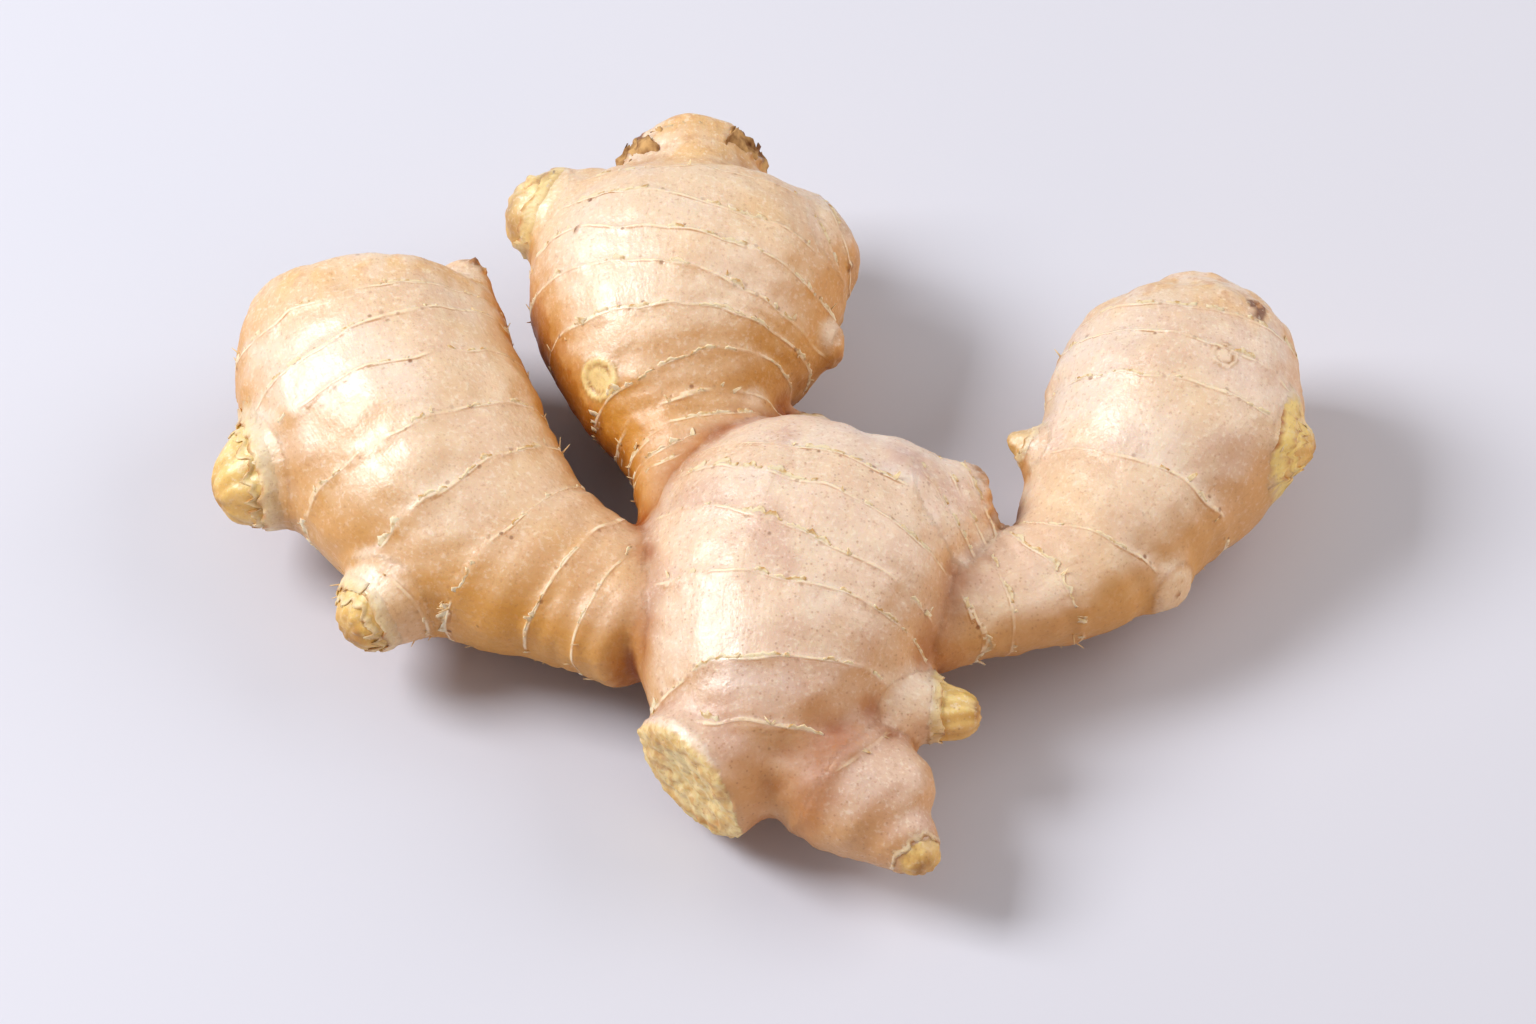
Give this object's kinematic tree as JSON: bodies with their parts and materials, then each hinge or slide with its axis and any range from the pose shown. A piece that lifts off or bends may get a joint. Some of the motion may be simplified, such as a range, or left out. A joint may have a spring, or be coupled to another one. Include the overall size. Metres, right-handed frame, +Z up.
{
  "type": "ginger root",
  "caption": "Hand of fresh ginger root: plump fused lobes with ring scars, small buds and a broken-off stem stub, lying on its side.",
  "frame": {"origin": "under the middle of the hand's box, on the surface that the hand lies on", "axes": "+X along its longest side, from the left lobe to the right one; +Y from the lower lobe, where it broke off the plant, to the back lobe; +Z up"},
  "size_m": [0.1592, 0.1247, 0.038],
  "materials": {
    "ginger_skin": "thin smooth papery skin with a low satin sheen"
  },
  "bodies": {
    "root": {"ginger_root": "ginger_skin"}
  },
  "joints": []
}
